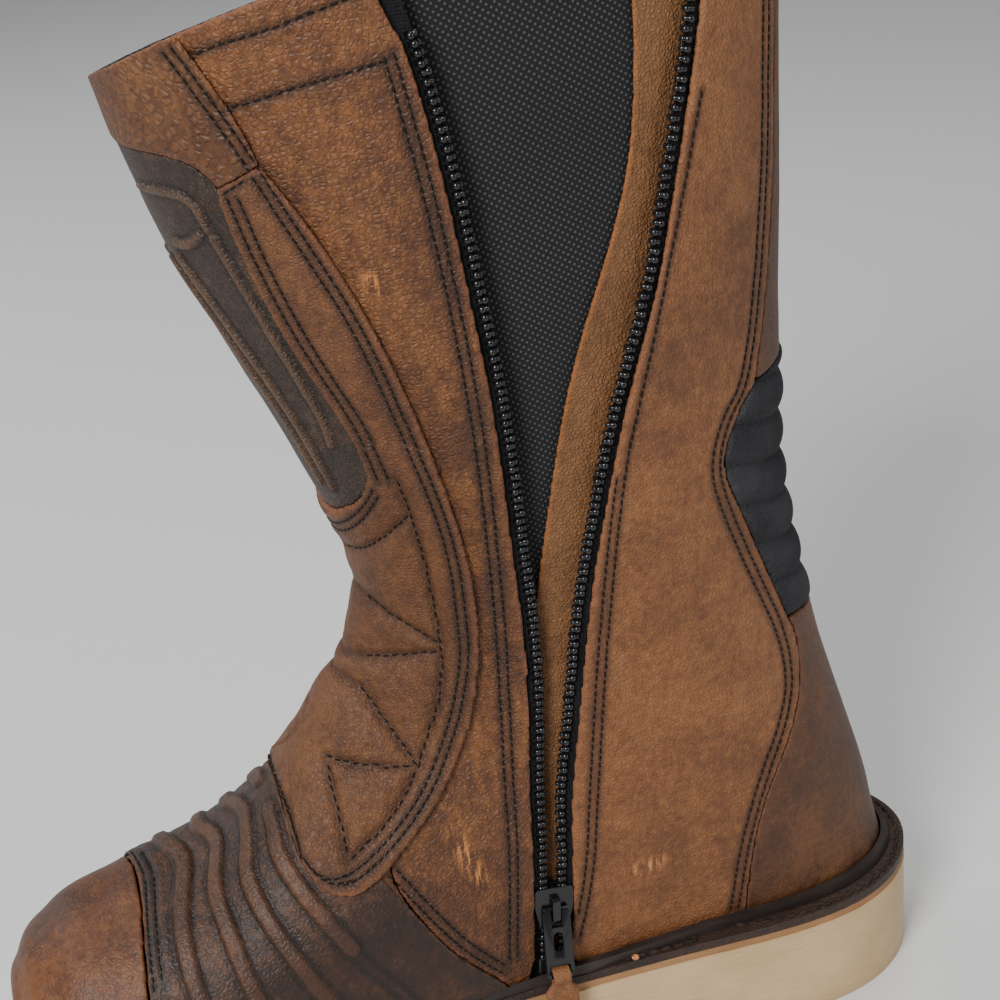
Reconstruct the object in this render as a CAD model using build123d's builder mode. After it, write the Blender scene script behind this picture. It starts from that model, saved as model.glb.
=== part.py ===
# A right-foot riding boot with its inner-side zip fully open: welted sole, layered leather upper,
# moulded zip with slider, pull and leather strap. Millimetres, toe towards -X, inner side towards
# -Y, +Z up, origin on the ground under the middle of the sole.
from build123d import *
from math import cos, radians, sin
import os

os.makedirs("parts", exist_ok=True)

# Overall sizes
sole_length = 305.0
rim_height = 356.0  # top of the shaft above the ground, on the centre plane
heel_back = 145.0
ball_x = -95.0  # ahead of it the boot is stretched by the sole length
ankle_z = 185.0  # above it the shaft is stretched by the rim height
rim_lean = 0.25  # the rim falls this much per millimetre towards the outer side
toe_stretch = (sole_length - heel_back + ball_x) / 65.0
shaft_stretch = (rim_height - ankle_z) / 171.0

# Thicknesses of the layers, from outside to inside
guard_leather = 1.6
pad_leather = 0.9
upper_leather = 2.0
tape_thickness = 0.6
facing_thickness = 2.8
flap_leather = 1.2
lining_thickness = 1.2
puff_thickness = 1.5
stiffener_thickness = 2.0
shin_plate_thickness = 2.0
gap = 0.2

# Depth of each layer under the leather's outer face
tape_face = -upper_leather
facing_face = tape_face - tape_thickness
flap_face = facing_face - facing_thickness
lining_face = flap_face - flap_leather
inner_face = lining_face - lining_thickness

# Sole stack
welt_thickness = 3.0
midsole_thickness = 3.0
bead_height = 4.0
bead_width = 2.6
insole_thickness = 2.5
insole_sink = 1.0
footbed_thickness = 4.0
welt_inset = 0.6
toe_spring = 13.0
heel_bevel = 3.0
shank_size = (104.0, 14.0, 1.2)
shank_x = 10.0

# Zip
tooth_pitch = 2.54
tooth_across = 3.8
tooth_thick = 2.2
tooth_along = 1.6
chain_spacing = 6.2  # between the two rows of teeth where they run side by side
edge_back = 4.6  # leather edge behind the row of teeth
tape_width = 16.0
facing_width = 11.5
zip_low, zip_straight, zip_top = 44.0, 98.0, 352.0
zip_start_x, zip_slope = 9.1, 0.085

# Slider, pull and strap
slider_z = 66.0
slider_travel = 20.0
slider_gap = 2.8
slider_clearance = 0.5
slider_plate = 0.9
slider_width, slider_length = 12.4, 14.0
post_width, post_length = 1.6, 4.5
bridge_width, bridge_length, bridge_bar = 2.4, 8.6, 1.0
pull_length, pull_width, pull_thick = 22.0, 9.0, 1.6
pull_bar = 1.3
pull_tilt = 14.0
strap_length, strap_width, strap_thick = 26.0, 10.6, 1.3
neck_width, loop_radius = 5.8, 1.6


def place(points):
    """Stretch side-view points to the sole length and the rim height."""
    placed = []
    for x, z in points:
        if x < ball_x:
            x = ball_x + (x - ball_x) * toe_stretch
        if z > ankle_z:
            z = ankle_z + (z - ankle_z) * shaft_stretch
        placed.append((x, z))
    return placed


def shifted(points, distance):
    return [(x + distance, z) for x, z in points]


# ---- Form of the boot ---------------------------------------------------------------------------
# Sections: front or top, back or bottom, inner and outer half width, fullness of the two ends.
toe_sections = (
    (-157.5, 55, 34, 12, 11, 0.54, 0.56),
    (-153.5, 65.5, 26, 24, 23, 0.54, 0.62),
    (-142, 77, 20, 34, 34, 0.54, 0.68),
    (-119, 84, 16, 41, 44, 0.54, 0.74),
)
# The planes of these turn from upright at the ball to level at the ankle, about one line.
turn_x, turn_z = -95.0, 185.0
turned_sections = (
    (0, 95.5, 170, 44, 48, 0.54, 0.76),
    (18, 82, 179, 42, 47, 0.54, 0.76),
    (34, 71.5, 208, 38.5, 42.5, 0.55, 0.75),
    (47, 66.5, 252, 36, 38, 0.55, 0.68),
    (54, 66, 287, 35.6, 36.5, 0.56, 0.64),
    (61, 66, 260.5, 35.5, 36, 0.56, 0.60),
    (75, 65.5, 217, 36.5, 37, 0.56, 0.57),
    (90, 63.5, 199.5, 40, 41, 0.57, 0.58),
)
shaft_sections = (
    (225, -45, 103.5, 45.5, 46.5, 0.58, 0.58),
    (290, -70, 105, 51.5, 55, 0.58, 0.58),
    (390, -92, 107, 56.5, 66, 0.58, 0.58),
)


def oval(near, far, inner, outer, near_full, far_full):
    """Control points of four arcs round a section, from its near end and back to it."""
    middle = (near + far) / 2
    half = (far - near) / 2
    near_reach = middle - half * near_full
    far_reach = middle + half * far_full
    return (
        (near, 0), (near, -inner * near_full), (near_reach, -inner), (middle, -inner),
        (far_reach, -inner), (far, -inner * far_full), (far, 0), (far, outer * far_full),
        (far_reach, outer), (middle, outer), (near_reach, outer), (near, outer * near_full),
        (near, 0),
    )


def section_rings(outset):
    """The sections of the form, each grown outwards by outset."""
    rings = []
    for x, top, low, inner, outer, near_full, far_full in toe_sections:
        ((x, _),) = place([(x, 0)])
        plane = Plane(origin=(x - outset, 0, 0), x_dir=(0, 0, -1), z_dir=(1, 0, 0))
        ring = oval(-top - outset, -low + outset, inner + outset, outer + outset, near_full, far_full)
        rings.append([plane.from_local_coords(Vector(u, v, 0)) for u, v in ring])
    for turn, near, far, inner, outer, near_full, far_full in turned_sections:
        side, down = sin(radians(turn)), cos(radians(turn))
        plane = Plane(origin=(turn_x, 0, turn_z), x_dir=(side, 0, -down), z_dir=(down, 0, side))
        ring = oval(near - outset, far + outset, inner + outset, outer + outset, near_full, far_full)
        rings.append([plane.from_local_coords(Vector(u, v, 0)) for u, v in ring])
    for z, near, far, inner, outer, near_full, far_full in shaft_sections:
        ((near, z),) = place([(near, z)])
        ring = oval(near - outset, far + outset, inner + outset, outer + outset, near_full, far_full)
        rings.append([Vector(u, v, z) for u, v in ring])
    return rings


def boot_form(outset):
    """The closed solid of the boot's outer face moved outwards by outset, in smooth patches."""
    rings = section_rings(outset)
    centres = [(ring[0] + ring[6]) / 2 for ring in rings]
    steps = [(b - a).length for a, b in zip(centres, centres[1:])]
    slopes = [[Vector(0, (b - a).Y, (b - a).Z) * (2 / steps[0]) for a, b in zip(rings[0], rings[1])]]
    for i in range(1, len(rings) - 1):
        back, ahead = steps[i - 1], steps[i]
        slopes.append([
            ((c - b) * (back / ahead) + (b - a) * (ahead / back)) / (back + ahead)
            for a, b, c in zip(rings[i - 1], rings[i], rings[i + 1])
        ])
    slopes.append([(b - a) / steps[-1] for a, b in zip(rings[-2], rings[-1])])
    patches = []
    for i, step in enumerate(steps):
        net = (
            rings[i],
            [point + slope * (step / 3) for point, slope in zip(rings[i], slopes[i])],
            [point - slope * (step / 3) for point, slope in zip(rings[i + 1], slopes[i + 1])],
            rings[i + 1],
        )
        for start in (0, 3, 6, 9):
            patches.append(Face.make_bezier_surface([row[start:start + 4] for row in net]))
    for ring in (rings[0], rings[-1]):
        patches.append(Face(Wire([Edge.make_bezier(*ring[start:start + 4]) for start in (0, 3, 6, 9)])))
    return Solid(Shell(patches))


# ---- Side-view lines ----------------------------------------------------------------------------
far_side = 90.0  # past both sides of the boot
feather = [(-185, 40), (-120, 34), (-70, 33), (0, 37), (60, 39), (165, 40)]
toe_seam = place([(-117, 5), (-117, 42), (-116, 68), (-112, 86), (-104, 100), (-98, 125)])
quarter_front = place([
    (-3, 10), (-7, 41), (-21, 58), (-32, 76), (-38, 94), (-30, 112), (-20, 128), (-13, 150),
    (-12, 175), (-17, 215), (-31, 264), (-48, 304), (-72, 358), (-92, 400),
])
pad_top = place([(-3, 10), (-7, 41), (-21, 58), (-32, 76), (-42, 93), (-60, 130)])
guard_edge = place([
    (-67, 125), (-65, 110), (-62, 96), (-56, 90), (-48, 89.5), (-36, 97), (-22, 110), (-12, 124),
    (-6, 141), (-3, 160), (-4, 190), (-9, 217), (-22, 264), (-39, 304), (-47.5, 318.5),
])
cuff_edge = place([(-47.5, 318.5), (-56, 340), (-63, 353), (-84, 400)])
cuff_joint = place([(-47.5, 318.5), (-58, 312)])
window_top = place([(-58, 312), (-63, 318), (-72, 320.5), (-130, 324)])
window_side = place([(-58, 312), (-52, 287), (-43, 262), (-32, 237), (-28.5, 221), (-34, 209), (-60, 192)])
front_out = place([(-130, 190), (-130, 125)])
back_low = [(74, 5), (76, 39), (79, 67), (87, 90), (98, 111), (101, 125), (97, 143)]
back_mid = place([(97, 143), (89, 164), (78, 193), (74, 208), (78, 220), (86, 228)])
back_high = place([(86, 228), (91, 252), (95, 280), (97, 310), (98, 400)])


def on_zip(z):
    """Middle of the straight lower stretch of the zip at height z."""
    return zip_start_x + zip_slope * (z - zip_low)


half_spacing = chain_spacing / 2
zip_front = [(on_zip(z) - half_spacing, z) for z in (10, zip_low, 71, zip_straight)] + place([
    (13.2, 132), (14, 152), (13, 177), (11, 205), (8, 245), (4, 278), (0, 309), (-5, 337),
    (-11, 360), (-24, 400),
])
zip_rear = [(on_zip(z) + half_spacing, z) for z in (10, zip_low, 71, zip_straight)] + place([
    (22, 135), (27, 174), (33, 208), (40, 238), (50, 269), (57, 298), (63, 324), (67, 344),
    (72, 400),
])
flap_edge = place([
    (-4, 10), (-2, 44), (2, 75), (7, 110), (11, 140), (14, 162), (17, 184), (20, 204), (25, 233),
    (33, 261), (41, 282), (48, 306), (51, 347), (52, 400),
])


def side_prism(*lines, sides=(-far_side, far_side)):
    """A solid seen from the side as the area that the lines enclose, between two Y values."""
    low, high = sides
    with BuildPart() as prism:
        with BuildSketch(Plane.XZ.offset(-high)):
            with BuildLine():
                end = lines[-1][-1]
                for line in lines:
                    if (Vector(*end) - Vector(*line[0])).length > 0.001:
                        Line(end, line[0])
                    if len(line) > 2:
                        Spline(*line)
                    else:
                        Line(*line)
                    end = line[-1]
            make_face()
        extrude(amount=high - low)
    return prism.part


inner_side = (-far_side, 0)
outer_side = (0, far_side)


def back_up(line):
    return list(reversed(line))


def feather_slab(low, high):
    """The curved slab between two heights over the feather line."""
    low_line = [(x, z + low) for x, z in feather]
    high_line = [(x, z + high) for x, z in feather]
    return side_prism(place(low_line), back_up(place(high_line)))


with BuildPart() as under_rim:
    with BuildSketch(Plane.XZ):
        with BuildLine():
            left, middle, right = place([(-92, 334), (20, 356), (116, 346)])
            reach = ThreePointArc(left, middle, right)
            Polyline(right, (200, right[1] - 20), (200, -200), (-260, -200), (-260, left[1] - 60), left)
        make_face()
    extrude(amount=far_side * 1.1, dir=(0, 1, -rim_lean), both=True)

upper_space = under_rim.part & side_prism(place(feather), [(260, 600), (-300, 600)])


def layer(outer, inner):
    """The closed skin between two depths, between the feather line and the rim."""
    return (boot_form(outer) - boot_form(inner)) & upper_space


skin = layer(0, -upper_leather)
cover_skin = layer(guard_leather, 0)
padding_skin = layer(-upper_leather, lining_face)
tape_skin = layer(tape_face, facing_face)
facing_skin = layer(facing_face, flap_face)
flap_skin = layer(flap_face, lining_face)
lining_skin = layer(lining_face, inner_face)


def save(name, shape):
    """Write one finished piece as its own node, keeping its real solids only."""
    solids = [solid for solid in shape.solids() if solid.volume > 0.5]
    piece = solids[0] if len(solids) == 1 else Compound(children=solids)
    piece.label = name
    export_step(piece, f"parts/{name}.step")


# ---- Sole ---------------------------------------------------------------------------------------
def sole_outline(inset):
    """The sole's outline from above: toe, ball, waist and the round of the heel."""
    run = place([
        (-160 + inset, 0), (-152, 0), (-132, 0), (-95, 0), (-60, 0), (-22, 0), (20, 0), (60, 0),
        (94, 0), (130, 0), (heel_back - inset, 0), (130, 0), (94, 0), (50, 0), (0, 0), (-45, 0),
        (-90, 0), (-125, 0), (-148, 0),
    ])
    widths = (-5, -23, -39, -48, -46.5, -39.5, -38.5, -39.2, -39.5, -28, 0, 28, 39.5, 41, 44, 50,
              52, 44, 27)
    outline = []
    for (x, _), width in zip(run, widths):
        side = 0 if abs(width) < 6 else (inset if width < 0 else -inset)
        outline.append((x, width + side))
    return outline


def sole_block(inset):
    """Everything inside the sole's outline, from below the ground up."""
    with BuildPart() as block:
        with BuildSketch(Plane.XY.offset(-5)):
            with BuildLine():
                Spline(*sole_outline(inset), periodic=True)
            make_face()
        extrude(amount=60)
    return block.part


welt_low = -welt_thickness
midsole_low = welt_low - midsole_thickness
ground_line = place([(-190, toe_spring + 8), (-150, toe_spring - 3), (-112, 3), (-70, 0)])
tread_top = place([(x, z + midsole_low) for x, z in feather])
tread = side_prism(ground_line, [(heel_back - 4, 0), (heel_back + 20, 14)], back_up(tread_top))
save("outsole", sole_block(0) & tread)
save("midsole", sole_block(welt_inset) & feather_slab(midsole_low, welt_low))
welt_bed = boot_form(-5)
welt_slab = feather_slab(welt_low, 0)
save("welt", (sole_block(0.2) & welt_slab) - welt_bed)
bead_form = boot_form(pad_leather + bead_width) & sole_block(welt_inset)
bead = (bead_form & feather_slab(0, bead_height)) - boot_form(pad_leather)
with BuildPart() as shank_blank:
    with Locations((shank_x, 0, 30)):
        Box(shank_size[0], shank_size[1], 40)
shank = shank_blank.part & feather_slab(welt_low + 0.4, welt_low + 0.4 + shank_size[2])
save("shank", shank)
save("cork_filler", (welt_bed & feather_slab(welt_low, -insole_sink)) - shank)
room = boot_form(inner_face - gap)
save("insole_board", room & feather_slab(-insole_sink, insole_thickness - insole_sink))
bed_low = insole_thickness - insole_sink
save("footbed", room & feather_slab(bed_low, bed_low + footbed_thickness))

# ---- Upper --------------------------------------------------------------------------------------
toe_out = place([(-200, 125), (-200, 5)])
save("toe_cap", skin & side_prism(toe_seam, toe_out))
save("vamp", skin & side_prism(quarter_front, place([(-140, 400), (-120, 200)]), back_up(toe_seam)))
guard_area = side_prism(guard_edge, cuff_joint, window_side, front_out)
pad_area = side_prism(pad_top, back_up(toe_seam)) - guard_area
save("shift_pad", layer(pad_leather, 0) & pad_area)
save("instep_guard", cover_skin & guard_area)
save("front_cuff", cover_skin & side_prism(back_up(window_top), back_up(cuff_joint), cuff_edge, place([(-140, 400), (-140, 330)])))
save("shin_panel", layer(pad_leather, 0) & side_prism(window_top, place([(-130, 190), (-60, 192)]), back_up(window_side)))
save("front_quarter_inner", skin & side_prism(quarter_front, back_up(shifted(zip_front, -edge_back)), sides=inner_side))
back_line = (back_up(back_high), back_up(back_mid), back_up(back_low))
save("rear_quarter_inner", skin & side_prism(shifted(zip_rear, edge_back), *back_line, sides=inner_side))
save("quarter_outer", skin & side_prism(quarter_front, *back_line, sides=outer_side))
flex_low, flex_high = place([(97, 143), (135, 137)]), place([(86, 228), (135, 230)])
save("heel_cover", skin & side_prism(back_low, flex_low, [(190, 137), (190, 5)]))
save("flex_panel", skin & side_prism(back_mid, flex_high, back_up(flex_low)))
save("backstay", skin & side_prism(back_high, place([(150, 400), (135, 230)]), back_up(flex_high)))

# ---- Inside the upper ---------------------------------------------------------------------------
save("toe_puff", layer(tape_face, tape_face - puff_thickness) & side_prism(shifted(toe_seam, -4), toe_out))
stiffener_edge = [(83, 5), (85, 60), (93, 90), (103, 108), (118, 116), (150, 118)]
save("heel_stiffener", layer(tape_face, tape_face - stiffener_thickness) & side_prism(stiffener_edge, [(190, 118), (190, 5)]))
plate_area = side_prism(place([(-39, 232), (-50, 262), (-59, 287), (-67, 308), (-125, 320)]), place([(-125, 215), (-39, 232)]))
plate_skin = layer(tape_face - gap, tape_face - gap - shin_plate_thickness)
shin_plate = plate_skin & plate_area
save("shin_plate", shin_plate)
padding_edge = place([(-24, 130), (-16, 150), (-15, 175), (-20, 215), (-34, 264), (-51, 304), (-60, 322)])
plate_pocket = layer(tape_face, tape_face - shin_plate_thickness - 2 * gap) & plate_area
save("shin_padding", (padding_skin & side_prism(padding_edge, place([(-130, 318), (-130, 125)]))) - plate_pocket)


def ankle_disc(x, z, radius, sides):
    with BuildPart() as disc:
        with BuildSketch(Plane.XZ.offset(-sides[1])):
            with Locations((x, z)):
                Circle(radius)
        extrude(amount=sides[1] - sides[0])
    return padding_skin & disc.part


save("ankle_disc_inner", ankle_disc(63, 128, 19, inner_side))
save("ankle_disc_outer", ankle_disc(40, 128, 23, outer_side))
collar_low = place([(70, 330), (30, 333), (-35, 328), (-78, 316), (-140, 305)])
collar = padding_skin & side_prism(collar_low, place([(-140, 420), (200, 420)]), place([(200, 322), (112, 325)]))
zip_zone = side_prism(place([(-30, 280), (-30, 430)]), place([(90, 430), (90, 280)]), sides=inner_side)
save("collar_padding", (collar - zip_zone) - side_prism(padding_edge, place([(-130, 318), (-130, 125)])))
gusset_area = side_prism(
    place([(20, 112), (4, 150), (-1, 205), (-5, 245), (-13, 309), (-22, 360), (-34, 400)]),
    place([(84, 400), (80, 344), (66, 285), (48, 224), (37, 165), (20, 112)]),
    sides=inner_side,
)
save("gusset", lining_skin & gusset_area)

# ---- Zip ----------------------------------------------------------------------------------------
tooth_room = 0.5  # tape past the middle of the teeth
tape_front = tape_skin & side_prism(shifted(zip_front, -tape_width), back_up(shifted(zip_front, tooth_room)), sides=inner_side)
tape_rear = tape_skin & side_prism(shifted(zip_rear, -tooth_room), back_up(shifted(zip_rear, tape_width)), sides=inner_side)
facing_start = edge_back + 1.9
save("zip_facing_front", facing_skin & side_prism(shifted(zip_front, -facing_start - facing_width), back_up(shifted(zip_front, -facing_start)), sides=inner_side))
save("zip_facing_rear", facing_skin & side_prism(shifted(zip_rear, facing_start), back_up(shifted(zip_rear, facing_start + facing_width)), sides=inner_side))

tape_middle = boot_form((tape_face + facing_face) / 2)


def on_tape(x, z):
    """The point of the tape's middle at this place in side view."""
    axis = Axis((x, -2 * far_side, z), (0, 1, 0))
    return min((hit[0] for hit in tape_middle.find_intersection_points(axis)), key=lambda hit: hit.Y)


zip_foot, zip_head = on_tape(on_zip(slider_z - 8), slider_z - 8), on_tape(on_zip(slider_z + slider_travel + 6), slider_z + slider_travel + 6)
zip_rise = (zip_head - zip_foot).normalized()
zip_belly = on_tape(on_zip(slider_z + slider_travel / 2), slider_z + slider_travel / 2)
zip_chord = zip_foot + zip_rise * (zip_belly - zip_foot).dot(zip_rise)
zip_foot = zip_foot + (zip_belly - zip_chord) / 2
across = Vector(1, 0, -zip_rise.X).normalized()
outward = zip_rise.cross(across) * -1
slider_centre = zip_foot + zip_rise * ((slider_z - zip_foot.Z) / zip_rise.Z)


with BuildPart() as tooth:
    with BuildSketch(Plane.XY.offset(-tooth_along / 2)):
        RectangleRounded(tooth_across, tooth_thick, tooth_thick * 0.32)
    extrude(amount=tooth_along)


def teeth_row(line, side):
    """Teeth one pitch apart along the free edge of a tape, from the stop to the rim."""
    with BuildLine() as edge_line:
        Spline(*line)
    run = edge_line.edge()
    shares = [i / 1000 for i in range(1001)]
    heights = [(run @ share).Y for share in shares]
    low = next(share for share, z in zip(shares, heights) if z > zip_low + 3)
    high = next(share for share, z in zip(shares, heights) if z > place([(0, zip_top)])[0][1])
    count = int(run.length * (high - low) / tooth_pitch)
    row = []
    for i in range(count):
        at = low + i * tooth_pitch / run.length
        x, z = (run @ at).X, (run @ at).Y
        if z < slider_z + slider_travel + 8:
            rise = zip_rise * ((z - slider_centre.Z) / zip_rise.Z)
            middle, along, level = slider_centre + rise + across * (side * half_spacing), zip_rise, across
        else:
            middle = on_tape(x, z)
            ahead = run @ (at + 1 / run.length)
            along = (on_tape(ahead.X, ahead.Y) - middle).normalized()
            level = on_tape(x + 1, z) - middle
        plane = Plane(origin=middle, x_dir=level - along * level.dot(along), z_dir=along)
        row.append(tooth.part.moved(plane.location))
    return Compound(children=row)


teeth_front = teeth_row(zip_front, -1)
teeth_rear = teeth_row(zip_rear, 1)

with BuildPart() as bottom_stop:
    with BuildSketch(Plane(origin=slider_centre + zip_rise * ((zip_low - slider_z) / zip_rise.Z), x_dir=across, z_dir=zip_rise)):
        RectangleRounded(chain_spacing + tooth_across, tooth_thick, tooth_thick * 0.3)
    extrude(amount=2.4, both=True)
stop = bottom_stop.part
save("zip_bottom_stop", stop)
save("welt_bead", bead - stop)
save("zip_teeth_front", teeth_front)
save("zip_teeth_rear", teeth_rear)
save("zip_tape_front", (tape_front - teeth_front) - stop)
save("zip_tape_rear", (tape_rear - teeth_rear) - stop)

# ---- Slider, pull and strap ---------------------------------------------------------------------
slider_plane = Plane(origin=slider_centre, x_dir=across, z_dir=outward)
plate_start = slider_gap / 2
plate_end = plate_start + slider_plate
with BuildPart() as slider_room:
    with BuildSketch(slider_plane.offset(-plate_end - slider_clearance)):
        with Locations((0, slider_travel / 2)):
            Rectangle(slider_width + 2 * slider_clearance, slider_length + slider_travel + 2 * slider_clearance)
    extrude(amount=plate_end)
save("lining", (lining_skin - gusset_area) - slider_room.part)
flap_area = side_prism(flap_edge, back_up(shifted(zip_rear, facing_start + facing_width)), sides=inner_side)
save("wind_flap", (flap_skin & flap_area) - slider_room.part)
with BuildPart() as zip_slider:
    for face_height in (plate_start, -plate_end):
        with BuildSketch(slider_plane.offset(face_height)):
            with BuildLine():
                half, tail = slider_width / 2, slider_width / 2 - 1.6
                top, bottom = slider_length / 2, -slider_length / 2
                Polyline((-half, top), (half, top), (half, 0), (tail, bottom), (-tail, bottom), (-half, 0), close=True)
            make_face()
        extrude(amount=slider_plate)
    fillet(zip_slider.edges().filter_by(Axis(slider_centre, outward)), radius=1.2)
    with BuildSketch(slider_plane.offset(-plate_start)):
        with Locations((0, slider_length / 2 - post_length / 2 - 0.6)):
            RectangleRounded(post_width, post_length, post_width * 0.45)
    extrude(amount=slider_gap)
    bridge_top = plate_end + pull_bar + 2 * gap + 0.1 + bridge_bar
    with BuildSketch(Plane(origin=slider_centre, x_dir=zip_rise, z_dir=across).offset(-bridge_width / 2)):
        with BuildLine():
            foot = bridge_length / 2
            Polyline(
                (-foot, plate_end), (-foot, bridge_top - 1), (-foot + 1, bridge_top),
                (foot - 1, bridge_top), (foot, bridge_top - 1), (foot, plate_end),
                (foot - bridge_bar, plate_end), (foot - bridge_bar, bridge_top - bridge_bar),
                (-foot + bridge_bar, bridge_top - bridge_bar), (-foot + bridge_bar, plate_end),
                close=True,
            )
        make_face()
    extrude(amount=bridge_width)
save("zip_slider", zip_slider.part)

hinge_height = plate_end + gap + pull_bar / 2
hinge = slider_centre + outward * hinge_height
tilt = radians(pull_tilt)
hang = zip_rise * -cos(tilt) + outward * sin(tilt)
pull_plane = Plane(origin=hinge, x_dir=across, z_dir=across.cross(hang * -1))
window_width = bridge_width + 1.0
window_end = bridge_length / 2 + 1.6
with BuildPart() as zip_pull:
    with BuildSketch(pull_plane.offset(-pull_thick / 2)):
        with Locations((0, -pull_length / 2 - pull_bar / 4)):
            RectangleRounded(pull_width, pull_length + pull_bar / 2, 1.6)
        with Locations((0, -window_end / 2)):
            Rectangle(window_width, window_end, mode=Mode.SUBTRACT)
        with Locations((0, -window_end - 1.6 - 3.2)):
            SlotOverall(6.4, 3.2, rotation=90, mode=Mode.SUBTRACT)
        with Locations((0, -pull_length + 2.4)):
            RectangleRounded(pull_width - 2.4, 2.2, 0.3, mode=Mode.SUBTRACT)
    extrude(amount=pull_thick)
    with BuildSketch(Plane(origin=hinge - across * (pull_width / 2 - 0.4), x_dir=zip_rise, z_dir=across)):
        Circle(pull_bar / 2)
    extrude(amount=pull_width - 0.8)
save("zip_pull", zip_pull.part)

strap_hinge = hinge + hang * (pull_length - 0.3)
with BuildPart() as pull_strap:
    with BuildSketch(Plane(origin=strap_hinge, x_dir=(0, 1, 0), z_dir=(1, 0, 0)).offset(-neck_width / 2)):
        Circle(loop_radius + strap_thick)
    extrude(amount=neck_width)
    with BuildSketch(Plane(origin=strap_hinge, x_dir=(1, 0, 0), z_dir=(0, -1, 0)).offset(-strap_thick)):
        with BuildLine():
            neck, half, low = neck_width / 2, strap_width / 2, -strap_length
            Polyline(
                (-neck, 0), (neck, 0), (neck, -3.4), (half, -6.5), (half, low + 1.5), (half - 1.5, low),
                (-half + 1.5, low), (-half, low + 1.5), (-half, -6.5), (-neck, -3.4), close=True,
            )
        make_face()
    extrude(amount=2 * strap_thick)
    with BuildSketch(Plane(origin=strap_hinge, x_dir=(0, 1, 0), z_dir=(1, 0, 0)).offset(-far_side)):
        Circle(loop_radius)
    extrude(amount=2 * far_side, mode=Mode.SUBTRACT)
save("pull_strap", pull_strap.part)
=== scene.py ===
import math
import random

import bmesh
import bpy
import numpy as np
from mathutils import Matrix, Vector, noise
from mathutils.bvhtree import BVHTree
from mathutils.kdtree import KDTree


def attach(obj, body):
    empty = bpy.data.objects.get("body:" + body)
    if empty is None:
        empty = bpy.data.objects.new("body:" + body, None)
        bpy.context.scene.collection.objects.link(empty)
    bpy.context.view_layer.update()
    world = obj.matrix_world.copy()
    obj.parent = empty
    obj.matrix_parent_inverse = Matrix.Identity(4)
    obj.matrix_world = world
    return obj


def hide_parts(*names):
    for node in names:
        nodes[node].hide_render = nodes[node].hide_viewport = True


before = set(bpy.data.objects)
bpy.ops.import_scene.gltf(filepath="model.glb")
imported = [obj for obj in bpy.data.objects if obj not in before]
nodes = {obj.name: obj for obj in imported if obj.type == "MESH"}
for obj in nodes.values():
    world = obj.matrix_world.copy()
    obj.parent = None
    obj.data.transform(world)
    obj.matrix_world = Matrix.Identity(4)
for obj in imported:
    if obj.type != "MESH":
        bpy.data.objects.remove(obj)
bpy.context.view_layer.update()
mm = 0.001
random.seed(11)


# shader maths: sums on values add their own Math nodes

class Num:
    def __init__(self, finish, socket):
        self.finish, self.socket = finish, socket

    def reckon(self, kind, other=None, flip=False):
        values = [self, other] if not flip else [other, self]
        values = [value for value in values if value is not None]
        return self.finish.num("ShaderNodeMath", {"operation": kind}, dict(enumerate(values)))

    def __add__(self, other):
        return self.reckon("ADD", other)

    def __radd__(self, other):
        return self.reckon("ADD", other)

    def __sub__(self, other):
        return self.reckon("SUBTRACT", other)

    def __rsub__(self, other):
        return self.reckon("SUBTRACT", other, True)

    def __mul__(self, other):
        return self.reckon("MULTIPLY", other)

    def __rmul__(self, other):
        return self.reckon("MULTIPLY", other)

    def __truediv__(self, other):
        return self.reckon("DIVIDE", other)

    def __pow__(self, other):
        return self.reckon("POWER", other)

    def __rtruediv__(self, other):
        return self.reckon("DIVIDE", other, True)

    def __abs__(self):
        return self.reckon("ABSOLUTE")

    def top(self, other):
        return self.reckon("MAXIMUM", other)

    def low(self, other):
        return self.reckon("MINIMUM", other)

    def sine(self):
        return self.reckon("SINE")

    def between(self, start, end):
        return self.finish.num(
            "ShaderNodeMapRange", {"interpolation_type": "SMOOTHSTEP"},
            {"Value": self, "From Min": start, "From Max": end},
        )


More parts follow.
